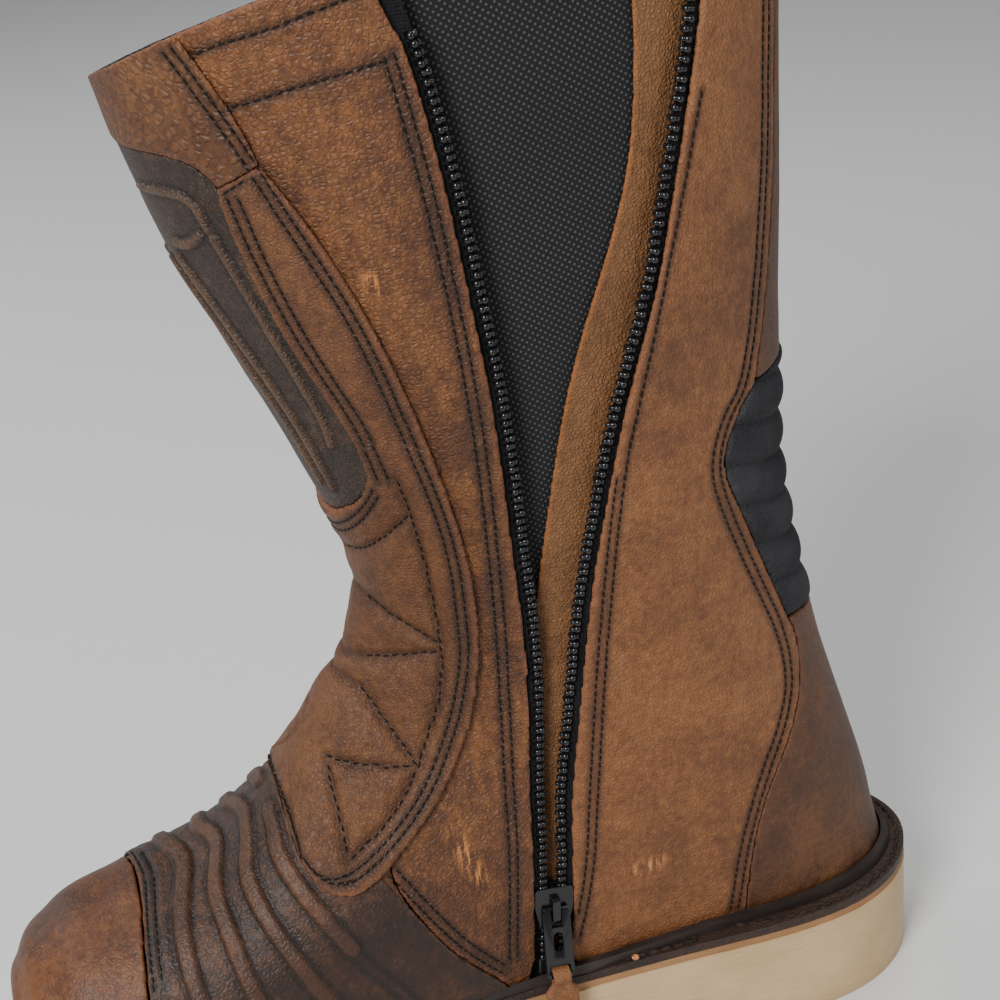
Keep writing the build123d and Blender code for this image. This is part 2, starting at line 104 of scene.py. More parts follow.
class Finish:
    def __init__(self, name, **fixed):
        self.material = bpy.data.materials.new(name)
        self.material.use_nodes = True
        self.tree = self.material.node_tree
        self.shader = self.tree.nodes["Principled BSDF"]
        for socket, value in fixed.items():
            self.shader.inputs[socket.replace("_", " ")].default_value = value
        self.spot = self.make("ShaderNodeTexCoord").outputs["Object"]

    def make(self, kind, settings=None, inputs=None):
        node = self.tree.nodes.new(kind)
        for key, value in (settings or {}).items():
            setattr(node, key, value)
        for key, value in (inputs or {}).items():
            self.join(node.inputs[key], value)
        return node

    def join(self, socket, value):
        if isinstance(value, Num):
            value = value.socket
        if isinstance(value, bpy.types.NodeSocket):
            self.tree.links.new(value, socket)
        else:
            socket.default_value = value

    def num(self, kind, settings=None, inputs=None, out=0):
        return Num(self, self.make(kind, settings, inputs).outputs[out])

    def noise(self, scale, detail=3.0, rough=0.55, warp=0.0, where=None):
        return self.num("ShaderNodeTexNoise", {}, {
            "Vector": where or self.spot, "Scale": scale, "Detail": detail,
            "Roughness": rough, "Distortion": warp,
        })

    def cells(self, scale, feature="F1", where=None, spread=1.0, flat=False):
        size = "2D" if flat else "3D"
        return self.num(
            "ShaderNodeTexVoronoi", {"feature": feature, "voronoi_dimensions": size},
            {"Vector": where or self.spot, "Scale": scale, "Randomness": spread},
            "Distance",
        )

    def mask(self, name):
        return self.num("ShaderNodeAttribute", {"attribute_name": name}, {}, "Fac")

    def stretched(self, turn, scale):
        inputs = {"Vector": self.spot, "Rotation": turn, "Scale": scale}
        return self.make("ShaderNodeMapping", {}, inputs).outputs[0]

    def mix(self, share, first, second, blend="MIX"):
        node = self.make("ShaderNodeMix", {"data_type": "RGBA", "blend_type": blend})
        self.join(node.inputs[0], share)
        self.join(node.inputs[6], first if not isinstance(first, tuple) else (*first, 1))
        self.join(node.inputs[7], second if not isinstance(second, tuple) else (*second, 1))
        return node.outputs[2]

    def bump(self, height, depth):
        node = self.make("ShaderNodeBump", {}, {"Height": height, "Distance": depth, "Strength": 1.0})
        self.join(self.shader.inputs["Normal"], node.outputs[0])

    def paint(self, colour, rough=None):
        self.join(self.shader.inputs["Base Color"], colour)
        if rough is not None:
            self.join(self.shader.inputs["Roughness"], rough)


def leather(name, dark, middle, light, raw, grain=1.0, crackleAndFoldShade=0.5, scuff=0.3, gloss=0.5, burnishAndShade=0.8, cell=640):
    # cell is how many pebbles of grain there are in a metre
    made = Finish(name, Specular_IOR_Level=0.45)
    big = made.noise(17, 3, 0.6, 0.6)
    patch = made.noise(58, 5, 0.62, 0.4)
    fine = made.noise(420, 4, 0.6)
    warp = made.make("ShaderNodeVectorMath", {"operation": "MULTIPLY_ADD"}, {
        0: made.make("ShaderNodeTexNoise", {}, {"Vector": made.spot, "Scale": 130, "Detail": 3}).outputs["Color"],
        1: (0.0022, 0.0022, 0.0022), 2: made.spot,
    }).outputs[0]
    pebble = made.cells(cell, "DISTANCE_TO_EDGE", warp).between(0.0, 0.30)
    lines = made.cells(430, "DISTANCE_TO_EDGE", warp)
    folds = made.noise(13, 5, 0.62, 0.35, made.stretched((0.1, 0.55, 0.3), (22, 22, 9)))
    creased = (1 - lines.between(0.0, 0.14)) * folds.between(0.45, 0.70) * crackleAndFoldShade
    long = made.noise(9, 4, 0.7, 0.3, made.stretched((0.3, 0.5, 0.2), (30, 30, 4)))
    marks = long.between(0.66, 0.72) * patch.between(0.40, 0.60) * scuff
    tone = (big * 0.34 + patch * 0.36 + fine * 0.30).between(0.36, 0.66)
    colour = made.mix((tone * 1.5 + 0.30).low(1), dark, middle)
    colour = made.mix((tone - 0.45).top(0) * 1.0, colour, light)
    colour = made.mix(((1 - pebble) * patch.between(0.34, 0.66) * 0.42 * grain).low(0.7), colour, dark)
    colour = made.mix(creased * 0.32, colour, light)
    # painted highlight on the fold crests and painted shade in the fold hollows, following the folds bump
    colour = made.mix(folds.between(0.50, 0.78) * 0.45 * crackleAndFoldShade, colour, light)
    colour = made.mix((0.5 - folds).top(0) * 1.6 * crackleAndFoldShade, colour, dark)
    colour = made.mix(marks * 0.7, colour, raw)
    streak = made.noise(11, 3, 0.6, 0.1, made.stretched((0.0, 0.35, 0.0), (60, 10, 9))).between(0.46, 0.56)
    colour = made.mix((made.mask("scar") * streak * 0.9).low(1), colour, tuple(c * 1.7 for c in light))
    # rib crests painted lighter: rubbed wear and a painted highlight
    colour = made.mix(made.mask("crestWearAndShine") * (0.35 + patch * 0.5), colour, light)
    # darker along the stitch grooves and in hollows: burnished seams with painted shade in the grooves, beside the
    # ribs and in the quilting lines
    colour = made.mix((made.mask("seamBurnishAndShade") * burnishAndShade).low(1), colour, tuple(c * 0.45 for c in dark))
    colour = made.mix((made.mask("edge") * (0.6 + fine * 0.6)).low(1), colour, raw)
    rough = (0.66 - gloss * 0.3) + patch * 0.16 + creased * 0.15
    rough = rough + made.mask("edge") * 0.2 - made.mask("crestWearAndShine") * 0.05
    made.paint(colour, rough)
    relief = pebble * 0.38 * grain + fine * 0.35 + creased * 0.3 * grain
    made.bump(relief + folds * 0.5 + patch * 0.5 - marks * 0.3, 0.0007)
    return made.material


def knit(name, ground, dot, pitch, rough=0.8):
    made = Finish(name, Specular_IOR_Level=0.25)
    split = made.make("ShaderNodeSeparateXYZ", {}, {0: made.spot})
    face = made.make("ShaderNodeSeparateXYZ", {}, {0: made.make("ShaderNodeNewGeometry").outputs["Normal"]})
    endOn = abs(Num(made, face.outputs[0])).between(0.66, 0.76)
    across = Num(made, split.outputs[0]) * (1 - endOn) + Num(made, split.outputs[1]) * endOn
    flat = made.make("ShaderNodeCombineXYZ", {}, {0: across * 1.0, 1: Num(made, split.outputs[2])}).outputs[0]
    turned = made.make("ShaderNodeMapping", {}, {"Vector": flat, "Rotation": (0, 0, 0.62)}).outputs[0]
    hole = made.cells(1 / pitch, "F1", turned, 0.0, True)
    thread = made.noise(2600, 2, 0.5)
    spotMask = 1 - hole.between(0.16, 0.36)
    cloud = made.noise(26, 3)
    colour = made.mix(spotMask * (0.5 + cloud * 0.6), ground, dot)
    made.paint(colour, rough - spotMask * 0.25)
    made.bump(spotMask * 0.9 + thread * 0.25, 0.00045)
    return made.material


def weave(name, ground, light, pitch, rough=0.85):
    made = Finish(name, Specular_IOR_Level=0.2)
    split = made.make("ShaderNodeSeparateXYZ", {}, {0: made.spot})
    turn = 2 * math.pi / pitch
    side = (Num(made, split.outputs[1]) + Num(made, split.outputs[0])) * turn
    rise = Num(made, split.outputs[2]) * turn
    rib = side.sine() * 0.5 + rise.sine() * 0.5
    fuzz = made.noise(1500, 3)
    cloud = made.noise(40, 3)
    colour = made.mix((fuzz * 0.5 + cloud * 0.5).between(0.35, 0.7), ground, light)
    made.paint(colour, rough + fuzz * 0.1)
    made.bump(rib * 0.4 + fuzz * 0.6, 0.0003)
    return made.material


def moulding(name, colour, shine):
    made = Finish(name, Specular_IOR_Level=0.4, Coat_Weight=0.25, Coat_Roughness=0.1)
    flow = made.noise(300, 3)
    rub = made.noise(900, 4, 0.7)
    rubbed = tuple(c * 3 + 0.01 for c in colour)
    made.paint(made.mix(rub.between(0.55, 0.8) * 0.2, colour, rubbed), shine + flow * 0.16)
    made.bump(flow * 0.5 + rub * 0.3, 0.00008)
    return made.material


def soleRubber(name, dark, light, rough):
    made = Finish(name, Specular_IOR_Level=0.4, Subsurface_Weight=0.04)
    split = made.make("ShaderNodeSeparateXYZ", {}, {0: made.spot})
    cloud = made.noise(30, 4, 0.6)
    speck = made.noise(900, 3)
    drag = made.noise(14, 4, 0.65, 0.2, made.stretched((0, 0, 0), (6, 6, 120)))
    colour = made.mix((cloud * 0.6 + drag * 0.4).between(0.3, 0.7), dark, light)
    # darker towards the bottom, in the lowest 6 mm of the sole
    nearGround = (1 - Num(made, split.outputs[2]).between(0.0, 0.006)) * 0.35 * cloud
    colour = made.mix(nearGround, colour, tuple(c * 0.5 for c in dark))
    made.paint(colour, rough + speck * 0.1 + drag * 0.1)
    made.bump(drag * 0.5 + speck * 0.25, 0.00022)
    return made.material


def crumb(name, dark, light, size, rough=0.9, metal=0.0):
    made = Finish(name, Metallic=metal)
    grain = made.cells(1 / size)
    cloud = made.noise(60, 3)
    made.paint(made.mix((grain * 0.7 + cloud * 0.5).between(0.2, 0.9), dark, light), rough - cloud * 0.1)
    made.bump(grain, 0.0003)
    return made.material


rawEdge = (0.235, 0.088, 0.042)
finishes = {
    "tanFront": leather("tanFront", (0.028, 0.0082, 0.002), (0.105, 0.034, 0.0078), (0.28, 0.108, 0.028), rawEdge,
                        0.9, 0.9, 0.5, 0.66),
    # tanLitRear: the tan leather painted lighter, a lit copy for the rear pieces where the rear quarter catches the
    # light
    "tanLitRear": leather("tanLitRear", (0.070, 0.0225, 0.0066), (0.188, 0.069, 0.0200), (0.33, 0.145, 0.050), rawEdge,
                       0.7, 0.4, 0.45, 0.5, 0.8, 720),
    "tanGuard": leather("tanGuard", (0.034, 0.0105, 0.0028), (0.100, 0.034, 0.0086), (0.22, 0.088, 0.025), rawEdge,
                        0.7, 0.5, 0.4, 0.58, 0.8, 800),
    "tanCuff": leather("tanCuff", (0.030, 0.0092, 0.0024), (0.105, 0.036, 0.009), (0.24, 0.098, 0.028), rawEdge,
                       1.5, 0.7, 0.4, 0.6, 0.8, 430),
    "tanHeel": leather("tanHeel", (0.030, 0.0100, 0.0032), (0.088, 0.031, 0.0088), (0.19, 0.077, 0.023), rawEdge,
                       0.45, 0.35, 0.7, 0.62, 0.8, 800),
    "toeLeather": leather("toeLeather", (0.020, 0.0060, 0.0018), (0.086, 0.0255, 0.0058),
                          (0.215, 0.078, 0.019), rawEdge,
                          0.3, 0.5, 0.9, 0.76, 0.8, 700),
    "darkLeather": leather("darkLeather", (0.0085, 0.0045, 0.0029), (0.0235, 0.0118, 0.0065), (0.115, 0.055, 0.025),
                           (0.12, 0.06, 0.03), 0.8, 0.35, 0.6, 0.6, 0.8, 700),
    "shiftLeather": leather("shiftLeather", (0.0085, 0.0034, 0.0018), (0.030, 0.0108, 0.0042), (0.150, 0.058, 0.020),
                            (0.25, 0.12, 0.055), 0.4, 0.35, 0.9, 0.68, 0.9, 700),
    "suede": leather("suede", (0.085, 0.033, 0.0105), (0.175, 0.074, 0.024),
                     (0.28, 0.132, 0.048), (0.36, 0.11, 0.022),
                     0.9, 0.3, 0.2, 0.05, 0.4, 800),
    "weltLeather": leather("weltLeather", (0.010, 0.005, 0.0035), (0.026, 0.0125, 0.008), (0.07, 0.033, 0.018),
                           (0.13, 0.06, 0.03), 0.5, 0.3, 0.5, 0.5),
    "blackMesh": knit("blackMesh", (0.0095, 0.0095, 0.0105), (0.075, 0.075, 0.082), 0.00155),
    "flexFabric": weave("flexFabric", (0.017, 0.017, 0.019), (0.050, 0.050, 0.055), 0.0007),
    "zipTape": weave("zipTape", (0.004, 0.004, 0.005), (0.016, 0.016, 0.018), 0.0009),
    "blackMoulding": moulding("blackMoulding", (0.006, 0.006, 0.007), 0.16),
    "creamRubber": soleRubber("creamRubber", (0.46, 0.31, 0.155), (0.60, 0.43, 0.24), 0.48),
    "tanRubber": soleRubber("tanRubber", (0.25, 0.118, 0.048), (0.38, 0.20, 0.09), 0.55),
    "darkRubber": soleRubber("darkRubber", (0.012, 0.008, 0.007), (0.040, 0.028, 0.022), 0.42),
    "thread": weave("thread", (0.0045, 0.003, 0.0025), (0.017, 0.011, 0.008), 0.0006, 0.7),
    "weltThread": weave("weltThread", (0.014, 0.008, 0.006), (0.050, 0.028, 0.018), 0.0008, 0.55),
    "cork": crumb("cork", (0.16, 0.08, 0.035), (0.42, 0.26, 0.13), 0.0022),
    "foam": crumb("foam", (0.05, 0.05, 0.055), (0.16, 0.16, 0.17), 0.0009),
    "steel": crumb("steel", (0.30, 0.30, 0.31), (0.50, 0.50, 0.52), 0.0006, 0.4, 1.0),
    "fibreBoard": crumb("fibreBoard", (0.20, 0.13, 0.075), (0.36, 0.26, 0.16), 0.0012),
    "copper": crumb("copper", (0.45, 0.17, 0.08), (0.75, 0.34, 0.18), 0.0004, 0.4, 1.0),
}
print("finishes made")

# lines that the seams, ribs and quilting follow, in millimetres


def smoothed(points, step=0.4, rounds=3):
    line = [Vector(p) for p in points]
    for _ in range(rounds):
        cut = [line[0]]
        for a, b in zip(line, line[1:]):
            cut += [a.lerp(b, 0.25), a.lerp(b, 0.75)]
        line = cut + [line[-1]]
    spread = [line[0]]
    for a, b in zip(line, line[1:]):
        count = max(1, math.ceil((b - a).length / step))
        spread += [a.lerp(b, i / count) for i in range(1, count + 1)]
    return spread


def beside(points, offset):  # a line in side view, moved sideways
    line = [Vector(p).to_2d() if len(p) == 2 else Vector(p) for p in points]
    moved = []
    for i, p in enumerate(line):
        along = (line[min(i + 1, len(line) - 1)] - line[max(i - 1, 0)]).normalized()
        moved.append((p.x + along.y * offset, p.y - along.x * offset))
    return moved


def treeOf(objects):
    corners, faces = [], []
    for obj in objects:
        base = len(corners)
        corners += [v.co.copy() for v in obj.data.vertices]
        faces += [[base + i for i in face.vertices] for face in obj.data.polygons]
    return BVHTree.FromPolygons(corners, faces)


coverNames = [
    "toe_cap", "vamp", "shift_pad", "instep_guard", "front_cuff", "shin_panel", "front_quarter_inner",
    "rear_quarter_inner", "quarter_outer", "heel_cover", "flex_panel", "backstay",
]
coverTree = treeOf([nodes[name] for name in coverNames])
print("covers indexed")


def onSide(points, side, tree=coverTree):  # a side-view line, laid on the leather
    found = []
    for p in smoothed([(x, z, 0) for x, z in points]):
        hit = tree.ray_cast(Vector((p.x * mm, side * 0.2, p.y * mm)), Vector((0, -side, 0)))
        if hit[0] is not None:
            found.append((hit[0], hit[1]))
    return found


def onCover(points, side=-1, tree=coverTree):  # a line in space, moved to the nearest leather
    found = []
    for p in smoothed(points):
        spot = Vector((p.x, p.y if side < 0 else -p.y, p.z)) * mm
        hit = tree.find_nearest(spot)
        out = hit[1] if hit[1].dot(spot - axisSpot(spot)) > 0 else -hit[1]
        found.append((hit[0], out))
    return found


def axisSpot(spot):
    if spot.z > 0.085 or spot.x > 0.03:
        return Vector((0.02 if spot.z < 0.25 else 0.012, 0, max(spot.z, 0.06)))
    return Vector((spot.x * 0.9, 0, 0.052))


def spaced(line, pitch, most=3.0):  # points one pitch apart, with None at a gap
    picked, gone = [line[0]], 0.0
    for a, b in zip(line, line[1:]):
        length = (b[0] - a[0]).length
        if length > most * mm:
            gone = 0.0
            picked.append(None)
            picked.append(b)
            continue
        gone += length
        if gone >= pitch * mm:
            picked.append(b)
            gone = 0.0
    return picked


guardEdge = [(-62, 351), (-56, 340), (-46, 320), (-39, 304), (-29, 283), (-22, 264), (-15, 239), (-8, 215), (-4, 193),
             (-3, 171), (-3, 157), (-7, 139), (-13, 123), (-23, 109), (-37, 97), (-49, 90), (-56, 90)]
guardNose = [(-49, -36, 92), (-56, -35, 91), (-62, -31, 97), (-64, -23, 105), (-65, -14, 111), (-66, 0, 113)]
windowEdge = [(-58, -32, 310), (-52, -32, 287), (-43, -31, 262), (-34, -31, 243), (-30, -31, 230), (-28, -30, 221),
              (-32, -23, 211), (-37, -11, 202), (-38, 0, 201)]
windowTop = [(-74, 0, 321), (-72, -12, 320), (-70, -20, 320), (-64, -29, 319), (-60, -31, 315), (-58, -32, 311)]
frontStitch = [(-14, 344), (-7, 305), (0, 246), (3, 192), (4, 160), (2, 107), (-3, 62), (-4, 50)]
rearStitch = [(68, 320), (56, 276), (45, 236), (40, 216), (35, 173), (29, 116), (24, 76), (17, 50)]
backStitch = [(76, 43), (79, 67), (87, 90), (98, 111), (101, 124), (98, 142), (89, 164), (78, 193), (74, 208),
              (78, 220), (86, 228), (91, 252), (95, 280), (97, 310), (98, 340)]
toeStitch = [(-117, -40, 48), (-116, -37, 69), (-115, -26, 80), (-113, -10, 87), (-112, 0, 88)]
padTop = [(-41, 91), (-32, 76), (-21, 58), (-9, 44)]
quilting = [
    [(-34, 189), (-19, 210)], [(-31, 174), (-13, 162)], [(-34, 155), (-13, 160)], [(-37, 146), (-24, 122)],
    [(-51, 126), (-24, 122)], [(-51, 124), (-50, 99)],
    [(-22, 222), (-19, 210), (-16, 193), (-13, 162), (-15, 143), (-24, 122), (-36, 108), (-50, 99)],
]
quiltFront = [
    [(-34, 189), (-44, 186)], [(-31, 174), (-43, 177)], [(-34, 155), (-48, 150)], [(-37, 146), (-52, 150)],
]
padRibs = [
    [(-98, 0, 91), (-98, -5, 90), (-102, -19, 86), (-103, -30, 79), (-102, -38, 70), (-99, -42, 56)],
    [(-87, 0, 95), (-87, -5, 94), (-91, -17, 90), (-89, -32, 82), (-86, -42, 68), (-80, -45, 50)],
    [(-76, 0, 102), (-78, -10, 101), (-81, -19, 95), (-78, -32, 86), (-71, -41, 73), (-63, -43, 56), (-54, -43, 44)],
    [(-69, -8, 107), (-70, -15, 106), (-71, -22, 101), (-64, -35, 89), (-52, -41, 69), (-37, -39, 46)],
]
shinRibs = [
    [(-71, -5, 286), (-66, -13, 270), (-58, -16, 250), (-48, -16, 232), (-40, -14, 217)],
    [(-69, -13, 289), (-62, -19, 270), (-53, -21, 250), (-44, -20, 232), (-36, -17, 216)],
    [(-60, -28, 298), (-53, -29, 280), (-45, -29, 258), (-37, -27, 238), (-34, -21, 224)],
    [(-74, -8, 309), (-70, -19, 310), (-64, -27, 309), (-61, -28, 300)],
    [(-69, -15, 294), (-66, -20, 294), (-63, -25, 298)],
]
cuffStitch = [
    [(-60, 347), (-52, 350), (-43, 352), (-24, 358), (-14, 360)],
    [(-54, 333), (-36, 338), (-16, 342), (-12, 343)],
]
scars = [[(-17, 100), (-15, 92), (-11, 84)], [(40, 72), (46, 73)], [(-24, 285), (-23, 283)]]
jointStitch = [(-57, 311), (-50, 316)]
topBack = [(72, 346), (90, 344), (98, 342)]

# each row: its line on the cover, the stitch pitch
rows, grooves, quilts, padRidges, shinRidges = [], [], [], [], []


def row(line, pitch=2.5, deep=True):
    if len(line) > 4:
        rows.append((line, pitch))
        if deep:
            grooves.append(line)


for side in (-1, 1):
    for offset in (2.6, 5.0):
        row(onSide(beside(guardEdge, offset), side))
        row(onCover([(x - 0.4 * offset, y, z + 0.75 * offset) for x, y, z in guardNose], side))
    for offset in (1.8, 4.4):
        row(onSide([(x + offset, z) for x, y, z in windowEdge[:6]], side))
        row(onCover([(x, y, z + offset) for x, y, z in windowTop], side))
        row(onCover([(x + offset * 0.4, y, z - offset) for x, y, z in windowEdge[5:]], side))
    for offset in (-1.4, 1.4):
        row(onSide(beside(backStitch, offset - 4.0), side))
        row(onCover([(x + offset + 3.0, y, z) for x, y, z in toeStitch], side))
        row(onSide(beside(padTop, offset - 3.6), side))
    for line in quilting:
        found = onSide(line, side)
        row(found, 2.9, False)
        quilts.append(found)
    for line in quiltFront:
        found = onSide(line, side)
        if len(found) > 4:
            quilts.append(found)
    for line in padRibs:
        padRidges.append(onCover(line, side))
    for line in shinRibs:
        shinRidges.append(onCover(line, side))
    row(onSide(jointStitch, side), 2.5)
    row(onSide(cuffStitch[0], side), 2.8)
    row(onSide(cuffStitch[1], side), 2.8)
for offset in (-1.3, 1.3):
    row(onSide(beside(frontStitch, offset), -1))
    row(onSide(beside(rearStitch, offset), -1))
row(onSide(topBack, -1), 2.8)
print("seam lines laid:", len(rows))


def kdOf(lines):
    points = [spot for line in lines for spot, _ in line]
    tree = KDTree(len(points))
    for i, spot in enumerate(points):
        tree.insert(spot, i)
    tree.balance()
    return tree


grooveTree, quiltTree = kdOf(grooves), kdOf(quilts)
scarTree = kdOf([onSide(line, -1) for line in scars])
padTree, shinTree = kdOf(padRidges), kdOf(shinRidges)


def reach(tree, spot, most):
    hit = tree.find(spot)
    return hit[2] / mm if hit[2] is not None and hit[2] < most * mm else most


# places of the teeth, read from the frame

def toothCentres(name):
    bm = bmesh.new()
    bm.from_mesh(nodes[name].data)
    bmesh.ops.remove_doubles(bm, verts=bm.verts[:], dist=0.00002)
    left, centres = set(bm.verts), []
    while left:
        seed = left.pop()
        found, queue = [seed], [seed]
        while queue:
            for e in queue.pop().link_edges:
                for v in e.verts:
                    if v in left:
                        left.remove(v)
                        found.append(v)
                        queue.append(v)
        centres.append(sum((v.co for v in found), Vector()) / len(found))
    bm.free()
    return sorted(centres, key=lambda c: c.z)


zipRows = {name: toothCentres(name) for name in ("zip_teeth_front", "zip_teeth_rear")}
zipTree = kdOf([
    [(a.lerp(b, k / 6), None) for k in range(6)] for teeth in zipRows.values() for a, b in zip(teeth, teeth[1:])
])

# leather pieces

def remeshed(name, voxel, soften=2):  # an even mesh of a node, in quads one voxel wide
    source = nodes[name]
    work = bpy.data.objects.new("work", source.data.copy())
    bpy.context.scene.collection.objects.link(work)
    bm = bmesh.new()
    bm.from_mesh(work.data)
    bmesh.ops.remove_doubles(bm, verts=bm.verts[:], dist=0.00002)
    bm.to_mesh(work.data)
    bm.free()
    if voxel:
        change = work.modifiers.new("voxels", "REMESH")
        change.mode, change.voxel_size, change.use_smooth_shade = "VOXEL", voxel * mm, True
        even = work.modifiers.new("even", "SMOOTH")
        even.factor, even.iterations = 0.5, 2
        wrap = work.modifiers.new("wrap", "SHRINKWRAP")
        wrap.target, wrap.wrap_method = source, "NEAREST_SURFACEPOINT"
        last = work.modifiers.new("soften", "SMOOTH")
        last.factor, last.iterations = 0.4, soften
    mesh = bpy.data.meshes.new_from_object(work.evaluated_get(bpy.context.evaluated_depsgraph_get()))
    bpy.data.objects.remove(work)
    return mesh


def spotsOf(mesh):
    co = np.zeros(len(mesh.vertices) * 3)
    mesh.vertices.foreach_get("co", co)
    normals = np.zeros(len(mesh.vertices) * 3)
    mesh.vertices.foreach_get("normal", normals)
    return co.reshape(-1, 3), normals.reshape(-1, 3)


def setMask(mesh, name, values):
    layer = mesh.attributes.new(name, "FLOAT", "POINT")
    layer.data.foreach_set("value", np.asarray(values, np.float32))


def roll(spot):  # slow waves and ankle creases, the same for all the leather
    soft = noise.noise(spot * 38) * 0.45 + noise.noise(spot * 95 + Vector((3, 7, 1))) * 0.22
    crease = abs(noise.noise(Vector((spot.x * 70, spot.y * 70, spot.z * 210)) + Vector((9, 2, 4))))
    ankle = math.exp(-((spot.z - 0.135) / 0.05) ** 2) * (1 if spot.x < 0.06 else 0.4)
    return soft - (1 - min(1, crease * 7)) * 0.45 * ankle


def drawnIn(co, amount=1.4, start=12.0, edge=4.8):  # brings the zip edge nearer the teeth
    moved = []
    for c in co:
        spot = Vector(c)
        tooth, _, far = zipTree.find(spot)
        share = min(1, max(0, (start - far / mm) / (start - edge))) ** 2
        pull = tooth - spot
        pull.y *= 0.4
        moved.append(spot + (pull.normalized() * amount + Vector((0, -0.25, 0))) * share * mm)
    return np.array([tuple(m) for m in moved])


def leatherPiece(name, body, finish, voxel, thick, shape=None, lift=1.0, soften=2):
    mesh = remeshed(name, voxel, soften)
    co, normals = spotsOf(mesh)
    if name in zipEdged:
        co = drawnIn(co)
    own = BVHTree.FromPolygons([Vector(c) for c in co], [list(f.vertices) for f in mesh.polygons])
    edge, seamBurnishAndShade, crestWearAndShine, moved = [], [], [], []
    for c, n in zip(co, normals):
        spot, out = Vector(c), Vector(n)
        hit = own.ray_cast(spot - out * 0.0001, -out, 3 * thick * mm)
        edge.append(1.0 if hit[0] is None or hit[3] > 1.75 * thick * mm else 0.0)
    rims = None
    if name in lipped:
        rims = KDTree(len(co))
        for i, c in enumerate(co):
            if edge[i] > 0:
                rims.insert(Vector(c), i)
        rims.balance()
    for i, (c, n) in enumerate(zip(co, normals)):
        spot, out = Vector(c), Vector(n)
        facing = out.dot((spot - axisSpot(spot)).normalized())
        outer = 1.0 if facing > 0.15 else 0.0
        groove = reach(grooveTree, spot, 6)
        push = roll(spot) * 0.55 * lift
        push -= 0.32 * math.exp(-(groove / 1.1) ** 2)
        push += 0.16 * math.exp(-((groove - 2.2) / 1.2) ** 2)
        # darker along the stitch grooves: burnished seam and painted shade in the groove
        dark, shine = math.exp(-(groove / 1.3) ** 2), 0.0
        if shape:
            # shine: rubbed wear and a painted highlight on raised crests
            more, moreDark, shine = shape(spot, out)
            push += more
            dark = max(dark, moreDark)
        seamBurnishAndShade.append(dark * outer)
        crestWearAndShine.append(shine * outer)
        bare = edge[i]
        if rims and outer:
            near = reach(rims, spot, 4)
            push += lipped[name] * math.exp(-(near / 1.5) ** 2)
            edge[i] = max(bare, 0.95 * math.exp(-(near / 0.75) ** 2))
        moved.append(spot + out * (push * outer * (1 - 0.7 * bare) * mm))
    links = np.zeros(len(mesh.edges) * 2, int)
    mesh.edges.foreach_get("vertices", links)
    links = links.reshape(-1, 2)
    edge = np.array(edge)
    count = np.bincount(links.ravel(), minlength=len(edge)) + 1
    for _ in range(2):
        total = edge + np.bincount(links[:, 0], edge[links[:, 1]], len(edge))
        total = total + np.bincount(links[:, 1], edge[links[:, 0]], len(edge))
        edge = total / count
    spots = np.array([tuple(m) for m in moved])
    share = np.clip(edge * 1.5, 0, 1)[:, None] * 0.5
    for _ in range(5):
        total = np.zeros_like(spots)
        np.add.at(total, links[:, 0], spots[links[:, 1]])
        np.add.at(total, links[:, 1], spots[links[:, 0]])
        spots += (total / (count - 1)[:, None] - spots) * share
    mesh.vertices.foreach_set("co", spots.astype(np.float32).ravel())
    setMask(mesh, "edge", edge)
    setMask(mesh, "seamBurnishAndShade", seamBurnishAndShade)
    setMask(mesh, "crestWearAndShine", crestWearAndShine)
    scar = [math.exp(-(reach(scarTree, Vector(c), 9) / 2.4) ** 2) for c in co]
    setMask(mesh, "scar", scar)
    mesh.update()
    return finishPiece(name + "_skin", mesh, body, finish, name)


def finishPiece(label, mesh, body, finish, *replaced):
    obj = bpy.data.objects.new(label, mesh)
    bpy.context.scene.collection.objects.link(obj)
    mesh.materials.clear()
    mesh.materials.append(finishes[finish])
    mesh.polygons.foreach_set("use_smooth", [True] * len(mesh.polygons))
    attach(obj, body)
    if replaced:
        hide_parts(*replaced)
    print("piece", label, len(mesh.polygons))
    return obj


def quiltShape(spot, out):
    far = reach(quiltTree, spot, 14)
    sunk = math.exp(-(far / 1.5) ** 2)
    puff = (1 - math.exp(-(far / 5) ** 2)) if far < 14 else 0.4
    # second value: painted shade in the sunk quilting lines
    return -0.95 * sunk + 0.95 * puff, sunk * 0.7, 0.0


def padShape(spot, out):
    far = reach(padTree, spot, 9)
    crest = 1 / (1 + math.exp((far - 2.5) * 3.2))
    side = math.exp(-((far - 3.5) / 0.7) ** 2)
    rub = 0.5 + 0.5 * noise.noise(spot * 60)
    # second value: painted shade in the hollow beside each rib; third value: rubbed wear and a painted highlight on
    # the crest
    return 1.25 * crest - 0.25 * side, side * 0.8, crest * rub * 0.6


def shinShape(spot, out):
    far = reach(shinTree, spot, 8)
    crest = 1 / (1 + math.exp((far - 1.3) * 4.5))
    side = math.exp(-((far - 2.2) / 0.6) ** 2)
    # second value: painted shade in the hollow beside each rib; third value: rubbed wear and a painted highlight on
    # the crest
    return 1.15 * crest - 0.15 * side, side * 0.7, crest * 0.9


def flexShape(spot, out):
    along = (spot.z / mm - 143 - (spot.x / mm - 97) * -0.35) / 13.6
    # second value: painted shade in the rib valleys
    return 2.3 * abs(math.sin(math.pi * along)) ** 0.7 - 1.1, (1 - abs(math.sin(math.pi * along))) ** 4, 0.0


